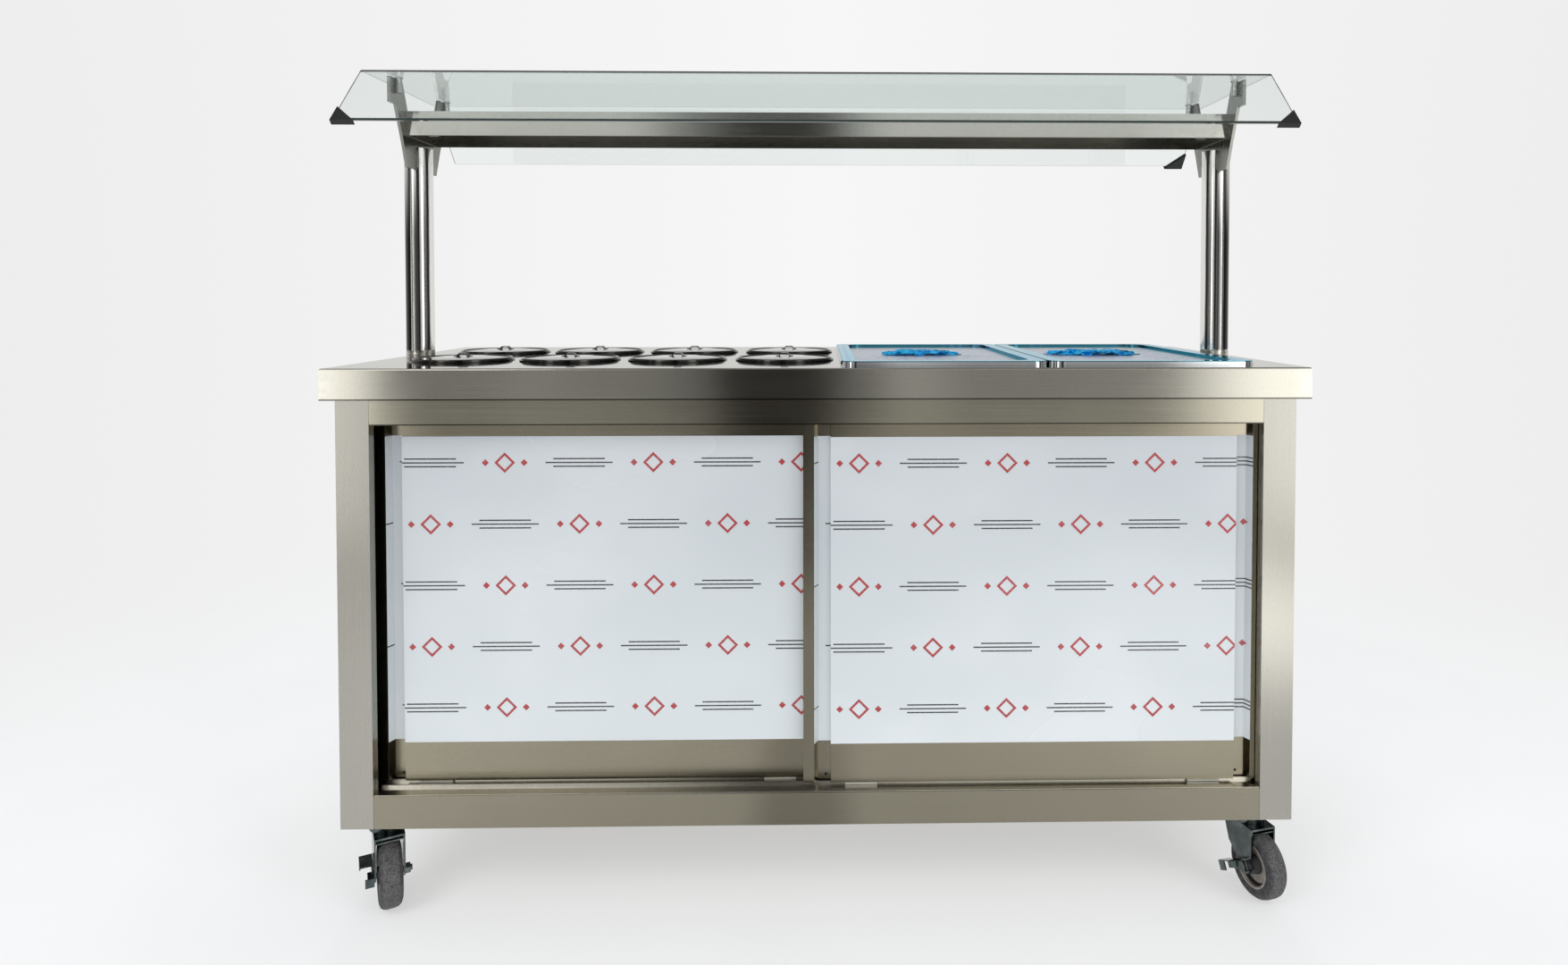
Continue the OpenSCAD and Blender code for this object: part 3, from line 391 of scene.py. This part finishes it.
# Polished lid under pale blue film, wrinkled here and there. Bands of painted highlight and painted shade on the
# film's blue follow the edge, in millimetres from it, and the recess walls get painted shade.
def lid_film(node):
    painted_shade, pale = (0.08, 0.14, 0.17), (0.66, 0.78, 0.92)
    rim_light_bands = [(0.0, painted_shade), (2.5, painted_shade), (3.5, (0.70, 0.86, 0.95)), (8.5, (0.72, 0.84, 0.94)),
             (10.0, (0.05, 0.42, 0.58)), (13.5, (0.05, 0.42, 0.58)), (15.0, pale), (21.0, pale),
             (22.0, (0.10, 0.55, 0.72)), (23.5, (0.80, 0.85, 0.94))]
    widest = 50.0
    s = Shader("film_" + node)
    wave = s.noise((16, 9, 16), 3, 0.6)
    fine = s.noise((120, 46, 120), 3, 0.7)
    patches = s.span(s.noise((7, 5, 7), 2, 0.5), 0.52, 0.62)
    streak = patches * s.span(fine, 0.46, 0.72, 0.0, 0.7)
    flat = s.span(abs(s.normal()[2]), 0.75, 0.95)
    lo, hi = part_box(node)
    x, y, z = s.parts()
    edge = s.least(s.least(x - lo[0], hi[0] - x), s.least(y - lo[1], hi[1] - y))
    rim_painted_light = s.ramp(edge * (1000.0 / widest), [(mm / widest, c) for mm, c in rim_light_bands])
    # Painted shade: the recess walls are darker teal.
    col = s.mix(flat, (0.05, 0.24, 0.29), rim_painted_light)
    col = s.mix(streak, col, (0.28, 0.56, 0.90))
    floor = flat * s.span(edge, 0.0225, 0.0240)
    r = 0.05 + (streak * 0.22 + floor * 0.24)
    h = wave * 0.8 + fine * patches * 0.5
    return s.surface(Base_Color=col, Metallic=1.0 - floor * 0.3, Roughness=r, Normal=s.bump(h, 0.3, 0.0022),
                     Specular_Tint=s.mix(floor, (0.45, 0.78, 0.92), (0.93, 0.95, 1.0)))


# Thin azure film, with some light passing through it, and painted pale highlights.
def blue_film():
    s = Shader("blue_film")
    fine = s.noise(260, 3, 0.6)
    cloud = s.noise(70, 2, 0.6)
    col = s.mix(s.span(cloud, 0.35, 0.65), (0.0, 0.48, 1.0), (0.04, 0.66, 1.0))
    # Painted highlight: pale glints in places.
    col = s.mix(s.span(fine, 0.56, 0.70) * 0.4, col, (0.40, 0.82, 1.0))
    s.surface(Base_Color=col, Roughness=0.30, Normal=s.bump(fine, 0.4, 0.001))
    through = s.add("ShaderNodeBsdfTranslucent", Color=(0.0, 0.55, 1.0))
    return s.finish(s.blend(0.25, s.bsdf, through))


# Wheel: grey hub with a dark ring, worn dark tyre. The radius is measured about the axle.
def wheel(name, centre, axis):
    s = Shader(name)
    p = s.vec("SUBTRACT", s.coord, centre)
    along = s.vec("DOT_PRODUCT", p, axis)
    radius = s.vec("LENGTH", s.vec("SUBTRACT", p, s.vec("SCALE", axis, along)))
    cloud = s.noise(130, 4, 0.65)
    fine = s.noise(520, 2, 0.6)
    tyre = s.mix(s.span(cloud, 0.35, 0.68), (0.018, 0.018, 0.020), (0.070, 0.070, 0.072))
    worn = s.span(radius, 0.0455, 0.0495) * s.span(fine, 0.35, 0.6)
    tyre = s.mix(worn * 0.5, tyre, (0.16, 0.155, 0.15))
    hub = s.mix(s.span(cloud, 0.35, 0.65), (0.19, 0.17, 0.145), (0.29, 0.26, 0.23))
    groove = abs(radius - 0.0285) < 0.0016
    hub = s.mix(groove, hub, (0.02, 0.02, 0.02))
    hub = s.mix(radius < 0.0150, hub, (0.05, 0.05, 0.052))
    col = s.mix(radius > 0.0341, hub, tyre)
    return s.surface(Base_Color=col, Roughness=s.span(cloud, 0.3, 0.7, 0.62, 0.82),
                     Normal=s.bump(cloud * 0.6 + fine * 0.4, 0.25, 0.0012))


def paint(material, *names):
    for n in names:
        mesh = nodes[n].data
        mesh.materials.clear()
        mesh.materials.append(material)


# Masks, from 0 to 1, for the marks, painted shade and tones above

def near_ends(s):
    return s.span(abs(s.parts()[0]), 0.715, 0.742)


def at_top(depth):
    return lambda s: s.parts()[2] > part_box("countertop")[1][2] - depth


# Painted shade along the lowest few millimetres of a part.
def hem_shade(node, size):
    return lambda s: (s.parts()[2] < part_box(node)[0][2] + size) * 0.85


# Painted shade on the faces that look down.
def underside_shade(s):
    return (s.normal()[2] < -0.5) * 0.8


# Distance from the nearest pot's axis: two rows of four, evenly spaced.
def pot_radius(s):
    a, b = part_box("pot_f1"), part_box("pot_f2")
    first, pitch = (a[0][0] + a[1][0]) / 2, b[0][0] - a[0][0]
    row = abs(a[0][1] + a[1][1]) / 2
    x, y, z = s.parts()
    u = (x - first) / pitch
    return s.length((u - s.math("ROUND", u)) * pitch, abs(y) - row)


# Lid: painted shade and painted reflections: a dark rim, a dark ring inside it, darker towards the ring, a dark knob.
def lid_shade_and_reflections(s):
    lo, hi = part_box("lid_f1")
    outer = (hi[0] - lo[0]) / 2
    inner = outer - 0.020
    r = pot_radius(s)
    rim = (r > outer - 0.0032) * 0.93
    ring = s.fall(abs(r - (outer - 0.016)), 0.004, 0.008) * 0.72
    shade = s.span(r, 0.025, inner, 0.05, 0.40) * (r < inner)
    knob = (s.parts()[2] > hi[2] - 0.0056) * 0.9
    return s.most(s.most(rim, ring), s.most(knob, shade))


def dress():
    # Painted shade along the lower edge of the counter and of the rail below it.
    paint(steel("counter_steel", (0.42, 0.405, 0.35), 0.15, "x", marks=near_ends, shiny=at_top(0.0012),
                painted_shade=hem_shade("countertop", 0.0022)), "countertop")
    paint(steel("rail_steel", WARM, 0.17, "x", 0.7, painted_shade=hem_shade("rail_top_front", 0.0018)), "rail_top_front")
    paint(steel("sheet_steel", WARM, 0.24, "x", 0.7), "track_top", "track_strips", "back_panel")
    # Warmer, darker tint: painted reflection of the floor.
    paint(steel("low_rail_steel", (0.31, 0.285, 0.22), 0.20, "x", 0.7), "rail_base_front", "deck")
    paint(steel("post_steel", COOL, 0.26, "z", 0.55), "corner_posts", "side_left", "side_right")
    paint(steel("bracket_steel", (0.30, 0.295, 0.27), 0.26, "z", 0.55), "bracket_left", "bracket_right")
    paint(steel("base_steel", (0.38, 0.36, 0.31), 0.30, "y", 0.4), "base_rails")
    # Warmer tint: painted reflection of the floor.
    paint(steel("door_steel", (0.34, 0.31, 0.235), 0.20, "x", 0.7), "door_left", "door_right")
    # Painted shade under the shelf.
    paint(steel("shelf_steel", (0.55, 0.545, 0.50), 0.15, "x", 0.5, painted_shade=underside_shade), "overshelf")
    # A lighter copy of the sheet steel: painted highlight along the track.
    paint(steel("track_steel", (0.72, 0.70, 0.64), 0.22, "x", 0.7), "track_bottom")
    paint(tube_steel_painted_reflections(), "upright_left", "upright_right")
    pots = ["pot_%s%d" % (r, i) for r in ROWS for i in COLUMNS]
    lids = ["lid_%s%d" % (r, i) for r in ROWS for i in COLUMNS]
    # The pots' top edge gets painted shade; the lids get painted shade and painted reflections.
    paint(polished("pot_steel", (0.55, 0.55, 0.54), 0.10, 0.2, painted_shade=at_top(0.0008)), *pots)
    paint(polished("lid_steel", (0.66, 0.66, 0.64), 0.05, 0.5, painted_shade=lid_shade_and_reflections), *lids)
    paint(polished("pan_steel", (0.60, 0.62, 0.63), 0.08, 0.3), "pan_1", "pan_2")
    for lid in ("pan_lid_1", "pan_lid_2"):
        paint(lid_film(lid), lid)
    paint(zinc("bolt_zinc", (0.62, 0.63, 0.62), 0.24), "glass_studs", "shelf_bolts", "plate_bolts")
    paint(zinc("caster_zinc", (0.115, 0.14, 0.14), 0.15), "caster_plates", "fork_fl", "fork_fr", "fork_rl",
          "fork_rr", "brake_fl", "brake_fr")
    paint(glass(), "hood_glass")
    paint(plastic("clear_pad", (0.55, 0.62, 0.60), 0.15, 0.05, coat=0.4), "glass_pads")
    paint(plastic("black_cap", (0.007, 0.007, 0.008), 0.5, 0.25), "corner_caps")
    paint(plastic("nylon", (0.36, 0.345, 0.30), 0.45, 0.1), "glides_left", "glides_right")
    paint(door_film("film_rear_door", 0.03), "film_left")
    paint(door_film("film_front_door", -0.06), "film_right")
    for j in frame["joints"]:
        if j["name"].startswith("roll_"):
            node = "wheel_" + j["name"][-2:]
            paint(wheel(node + "_rubber", tuple(j["pos_m"]), tuple(j["axis"])), node)


# Soft rounding of the folded edges: nodes by the width of the rounding.
def round_edges():
    widths = {0.0005: "brake_fl brake_fr caster_plates",
              0.0006: "door_left door_right corner_caps hood_glass",
              0.0007: "corner_posts rail_top_front rail_base_front",
              0.0008: "overshelf bracket_left bracket_right",
              0.0009: "fork_fl fork_fr fork_rl fork_rr"}
    for width, names in widths.items():
        for n in names.split():
            m = nodes[n].modifiers.new("edge", "BEVEL")
            m.width = width
            m.segments = 2
            m.limit_method = "ANGLE"
            m.angle_limit = math.radians(40)
            m.harden_normals = False


def new_piece(name, bm, material, body):
    me = bpy.data.meshes.new(name)
    bm.to_mesh(me)
    bm.free()
    me.materials.append(material)
    me.polygons.foreach_set("use_smooth", [True] * len(me.polygons))
    o = bpy.data.objects.new(name, me)
    scene.collection.objects.link(o)
    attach(o, body)
    return o


# Crumpled film left round a lid's handle: several gathered strips, folded over each other.
def crumple(name, body, centre, half_l, half_w, floor_z, top_z, seed, material, strips=7):
    rng = random.Random(seed)
    # Without a seed of its own, noise_vector would take its offsets from the clock.
    noise.seed_set(seed)
    bm = bmesh.new()
    nu, nv = 90, 16
    for k in range(strips):
        off = Vector((rng.uniform(-50, 50), rng.uniform(-50, 50), rng.uniform(-50, 50)))
        x0 = centre[0] + rng.uniform(-0.25, 0.1) * half_l
        lean = rng.uniform(-0.16, 0.16)
        y0 = centre[1] + (k / (strips - 1) - 0.5) * 1.3 * half_w
        span = half_l * rng.uniform(0.72, 0.98)
        wide = half_w * rng.uniform(0.35, 0.6)
        lowest = floor_z + 0.0006 + 0.0004 * k / strips
        grid = []
        for i in range(nu + 1):
            u = 2 * i / nu - 1
            pinch = (1 - abs(u) ** 3) * 0.8 + 0.2
            lift = (0.5 + 0.5 * math.sin(k * 1.9 + u * 2.2)) * 0.35 + 0.35
            row = []
            for j in range(nv + 1):
                v = 2 * j / nv - 1
                base = Vector((x0 + u * span, y0 + v * wide * pinch + lean * u * half_l * 0.3, 0.0))
                q = Vector((u * half_l * 62, v * wide * 90, k * 3.1)) + off
                coarse = noise.noise_vector(q)
                middle = noise.noise_vector(q * 2.7 + Vector((9, 2, 5)))
                fine = noise.noise_vector(q * 6.1)
                d = coarse * 0.012 + middle * 0.0050 + fine * 0.0018
                z = floor_z + (top_z - floor_z) * lift * pinch + d.z * 0.5
                p = Vector((base.x + d.x * 0.8, base.y + d.y * 0.9, z))
                p.z = lowest + abs(p.z - lowest)
                if p.z > top_z:
                    p.z = top_z - 0.35 * (p.z - top_z)
                row.append(bm.verts.new(p))
            grid.append(row)
        for a, b in zip(grid, grid[1:]):
            for j in range(nv):
                bm.faces.new((a[j], b[j], b[j + 1], a[j + 1]))
    o = new_piece(name, bm, material, body)
    m = o.modifiers.new("film", "SOLIDIFY")
    m.thickness = 0.00012
    m.offset = 0.0


def crumpled_films():
    mat = blue_film()
    for i, (dx, half_l) in enumerate(((-0.012, 0.068), (-0.029, 0.077)), 1):
        lid = "pan_lid_%d" % i
        lo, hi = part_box(lid)
        cx, cy = (lo[0] + hi[0]) / 2, (lo[1] + hi[1]) / 2
        crumple("handle_film_%d" % i, lid, (cx + dx, cy - 0.002), half_l, 0.030,
                lo[2] + 0.0012, hi[2] + 0.0015, 11 * i, mat)


# Rolled edge of the round lids, just above the pots' rims, in dark steel for painted shade.
def lid_edges():
    thick, steps, sides = 0.0017, 96, 10
    mat = polished("lid_edge_steel", (0.11, 0.108, 0.10), 0.10, 0.3)
    for place in ("%s%d" % (r, i) for r in ROWS for i in COLUMNS):
        lo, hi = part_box("lid_" + place)
        cx, cy = (lo[0] + hi[0]) / 2, (lo[1] + hi[1]) / 2
        radius = (hi[0] - lo[0]) / 2 - 0.0016
        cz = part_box("pot_" + place)[1][2] + thick + 0.0001
        bm = bmesh.new()
        rings = []
        for a in (2 * math.pi * k / steps for k in range(steps)):
            rings.append([bm.verts.new((cx + (radius + thick * math.cos(w)) * math.cos(a),
                                        cy + (radius + thick * math.cos(w)) * math.sin(a), cz + thick * math.sin(w)))
                          for w in (2 * math.pi * j / sides for j in range(sides))])
        for a, b in zip(rings, rings[1:] + rings[:1]):
            for j in range(sides):
                k = (j + 1) % sides
                bm.faces.new((a[j], b[j], b[k], a[k]))
        new_piece("edge_lid_" + place, bm, mat, "lid_" + place)


# Weld bead: a run of small overlapping ripples along a straight line.
def bead(name, a, b, radius, body, material, seed):
    sides, ripple = 10, 0.0007
    rng = random.Random(seed)
    a, b = Vector(a), Vector(b)
    d = (b - a).normalized()
    side = d.orthogonal().normalized()
    other = d.cross(side)
    steps = int((b - a).length / ripple)
    bm = bmesh.new()
    rings = []
    for i in range(steps + 1):
        t = i / steps
        c = a.lerp(b, t)
        r = radius * (0.80 + 0.20 * abs(math.sin(i * 0.75 + rng.uniform(-0.15, 0.15))))
        r *= min(1.0, 0.35 + 6 * min(t, 1 - t))
        rings.append([bm.verts.new(c + (side * math.cos(w) + other * math.sin(w)) * r)
                      for w in (2 * math.pi * k / sides for k in range(sides))])
    for p, q in zip(rings, rings[1:]):
        for j in range(sides):
            k = (j + 1) % sides
            bm.faces.new((p[j], p[k], q[k], q[j]))
    bm.faces.new(rings[0][::-1])
    bm.faces.new(rings[-1])
    new_piece(name, bm, material, body)


# Beads where the bracket plates meet the tubes.
def weld_beads():
    mat = steel("weld_steel", (0.42, 0.41, 0.38), 0.36, "z", 0.2)
    for n, inner, outer in (("left", 1, 0), ("right", 0, 1)):
        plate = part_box("bracket_" + n)
        lo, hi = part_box("upright_" + n)
        r = (hi[1] - lo[1]) / 2
        cx = (hi[0] + lo[0]) / 2
        for f, face in (("in", plate[inner][0]), ("out", plate[outer][0])):
            dy = math.sqrt(max(r * r - (face - cx) ** 2, 0.0)) + 0.0002
            for y in (-dy, dy):
                bead("weld_%s_%s_%s" % (n, f, "front" if y < 0 else "back"), (face, y, plate[0][2] + 0.003),
                     (face, y, hi[2] - 0.002), 0.0013, "cart", mat, 5)


# World: pale studio, white behind the object, a dimmer room above it in reflections.
def make_world():
    s = Shader("studio", bpy.data.worlds.new("studio"))
    scene.world = s.mat
    x, y, z = s.parts()
    behind = s.span(y, 0.0, 0.35)
    mirrored = s.mirrored()
    front = s.ramp(s.azimuth(360), by_angle([(-180, 0.92), (-90, 0.90), (-30, 0.80), (30, 0.80), (90, 0.90),
                                             (180, 0.92)]), "EASE")
    sky = s.mix(behind, front, s.grey(0.93 - abs(x) * 0.12))
    sky = s.mix(mirrored * behind, sky, (0.74, 0.74, 0.73))
    sky = s.mix(s.span(z, 0.16, 0.46) * mirrored, sky, s.grey(s.span(z, 0.72, 0.95, 0.13, 0.50)))
    rays = s.add("ShaderNodeLightPath").outputs
    camera, glossy, passed = (Value(s, rays["Is %s Ray" % k]) for k in ("Camera", "Glossy", "Transmission"))
    seen = s.most(camera, s.most(glossy, passed))
    plain = s.add("ShaderNodeBackground", Color=(0.93, 0.96, 1.0), Strength=0.55)
    show = s.add("ShaderNodeBackground", Color=sky, Strength=1.0)
    s.finish(s.blend(seen, plain, show))


# A thing of the studio, not of the object. Most are seen only as reflections.
def stage_piece(name, mesh, material, reflected=True, height=0.0):
    mesh.materials.append(material)
    o = bpy.data.objects.new(name, mesh)
    o.location.z = height
    scene.collection.objects.link(o)
    if reflected:
        o.visible_camera = o.visible_diffuse = o.visible_shadow = False


def plane(name, corners):
    me = bpy.data.meshes.new(name)
    me.from_pydata(corners, [], [(0, 1, 2, 3)])
    return me


def make_floor():
    s = Shader("pale_floor")
    x, y, z = s.parts()
    col = s.mix(s.span(s.noise(3, 3, 0.5), 0.3, 0.7), (0.56, 0.56, 0.56), (0.58, 0.58, 0.58))
    s.surface(Base_Color=col, Roughness=0.6, Emission_Color=(1, 1, 1), Emission_Strength=0.44,
              Specular_IOR_Level=0.1)
    s.finish(s.blend(s.span(s.length(x, y), 1.0, 3.0), s.bsdf, s.clear()))
    me = bpy.data.meshes.new("floor")
    bm = bmesh.new()
    bmesh.ops.create_circle(bm, cap_ends=True, radius=FLOOR_RADIUS, segments=96)
    bm.to_mesh(me)
    bm.free()
    stage_piece("floor", me, s.mat, reflected=False, height=-0.0005)


# Studio surround in front of the counter: dark flags with bright gaps between, lighter higher up.
def make_surround():
    low = [(-100, 0.9), (-84, 0.35), (-66, 0.10), (-60, 0.8), (-57, 0.8), (-56, 0.10), (-46, 0.12), (-43.5, 2.3),
           (-34.5, 2.3), (-32, 0.45), (-30.5, 0.26), (-22, 0.43), (-14, 0.33), (-10, 0.24), (-6, 0.14), (-1, 0.12),
           (4, 0.30), (6.5, 0.62), (12, 0.38), (26.5, 0.45), (29, 1.3), (33, 2.5), (46, 2.5), (48, 0.12),
           (62, 0.10), (63, 0.7), (66, 0.7), (68, 0.1), (84, 0.35), (100, 0.9)]
    high = [(-100, 0.6), (-60, 0.5), (-50, 0.9), (-16, 0.95), (-12, 0.3), (-9, 0.16), (1, 0.10), (3, 0.5),
            (5, 0.9), (50, 1.0), (60, 0.5), (100, 0.6)]
    full = 2.0 * SURROUND_HALF
    s = Shader("surround")
    z = s.parts()[2]
    az = s.azimuth(full)
    light = s.mix(s.span(z, 1.3, 1.7), s.ramp(az, by_angle(low, full)), s.ramp(az, by_angle(high, full)))
    hidden = 1.0 - s.mirrored() * s.fall(z, 2.3, 2.75)
    s.finish(s.blend(hidden, s.glow(light), s.clear()))
    points, faces = [], []
    for i, degrees in enumerate(range(-SURROUND_HALF, SURROUND_HALF + 1, 2)):
        a = math.radians(degrees)
        points += [(SURROUND_RADIUS * math.sin(a), -SURROUND_RADIUS * math.cos(a), h) for h in (0.0, SURROUND_HEIGHT)]
        if i:
            faces.append((2 * i - 2, 2 * i, 2 * i + 1, 2 * i - 1))
    me = bpy.data.meshes.new("surround")
    me.from_pydata(points, [], faces)
    stage_piece("surround", me, s.mat)


# A dark narrow flag standing nearer, with soft edges.
def make_flag():
    left, right, top = -0.45, 0.15, 2.0
    s = Shader("flag")
    x, y, z = s.parts()
    solid = s.span(x, -0.40, -0.27) * s.fall(x, -0.02, 0.10) * (s.fall(z, 1.75, 1.95) * s.mirrored())
    s.finish(s.blend(solid, s.clear(), s.glow((0.035, 0.033, 0.030))))
    corners = [(left, FLAG_Y, 0.0), (right, FLAG_Y, 0.0), (right, FLAG_Y, top), (left, FLAG_Y, top)]
    stage_piece("flag", plane("flag", corners), s.mat)


# On the floor in front, seen only in reflections: a painted shade strip and a painted pool of light.
def make_floor_shade_and_light():
    left, right, near, far = -1.0, 2.0, -2.6, -0.36
    s = Shader("floor_shade_and_light")
    x, y, z = s.parts()
    strip = s.span(x, -0.20, -0.07) * s.fall(x, 0.0, 0.14)
    wide = s.span(x, -0.9, -0.1, 0.0, 0.22) * s.span(x, 0.1, 0.9, 1.0, 0.3)
    shade = s.most(strip * 0.55, wide)
    pool = s.fall(s.vec("LENGTH", s.vec("SUBTRACT", s.coord, (1.15, -1.75, MARK_Z))), 0.20, 0.85)
    mirrored = s.mirrored()
    painted_shade = s.blend(shade * mirrored, s.clear(), s.glow((0.10, 0.098, 0.09)))
    s.finish(s.blend(pool * mirrored, painted_shade, s.glow((1, 1, 1), 2.5)))
    corners = [(left, near, MARK_Z), (right, near, MARK_Z), (right, far, MARK_Z), (left, far, MARK_Z)]
    stage_piece("floor_shade_and_light", plane("floor_shade_and_light", corners), s.mat)


def soft_light(name, place, aim_z, size, power):
    data = bpy.data.lights.new(name, "AREA")
    data.shape = "RECTANGLE"
    data.size, data.size_y = size
    data.energy = power
    o = bpy.data.objects.new(name, data)
    o.location = place
    o.rotation_euler = (Vector((0, 0, aim_z)) - Vector(place)).to_track_quat("-Z", "Y").to_euler()
    scene.collection.objects.link(o)
    return o


def make_lights():
    soft_light("key", (-2.6, -3.0, 3.0), 0.7, (2.2, 2.2), 52)
    soft_light("fill", (3.0, -2.6, 2.4), 0.6, (2.0, 2.4), 40)
    top = soft_light("top", (0.0, 2.6, 3.4), 0.6, (3.2, 1.4), 40)
    low = soft_light("low", (0.0, -3.2, 0.5), 0.35, (3.4, 0.8), 32)
    top.visible_glossy = low.visible_glossy = False
    top.visible_transmission = False


make_camera()
make_world()
make_floor()
make_surround()
make_flag()
make_floor_shade_and_light()
make_lights()
dress()
round_edges()
crumpled_films()
lid_edges()
weld_beads()

scene.view_settings.view_transform = "Standard"
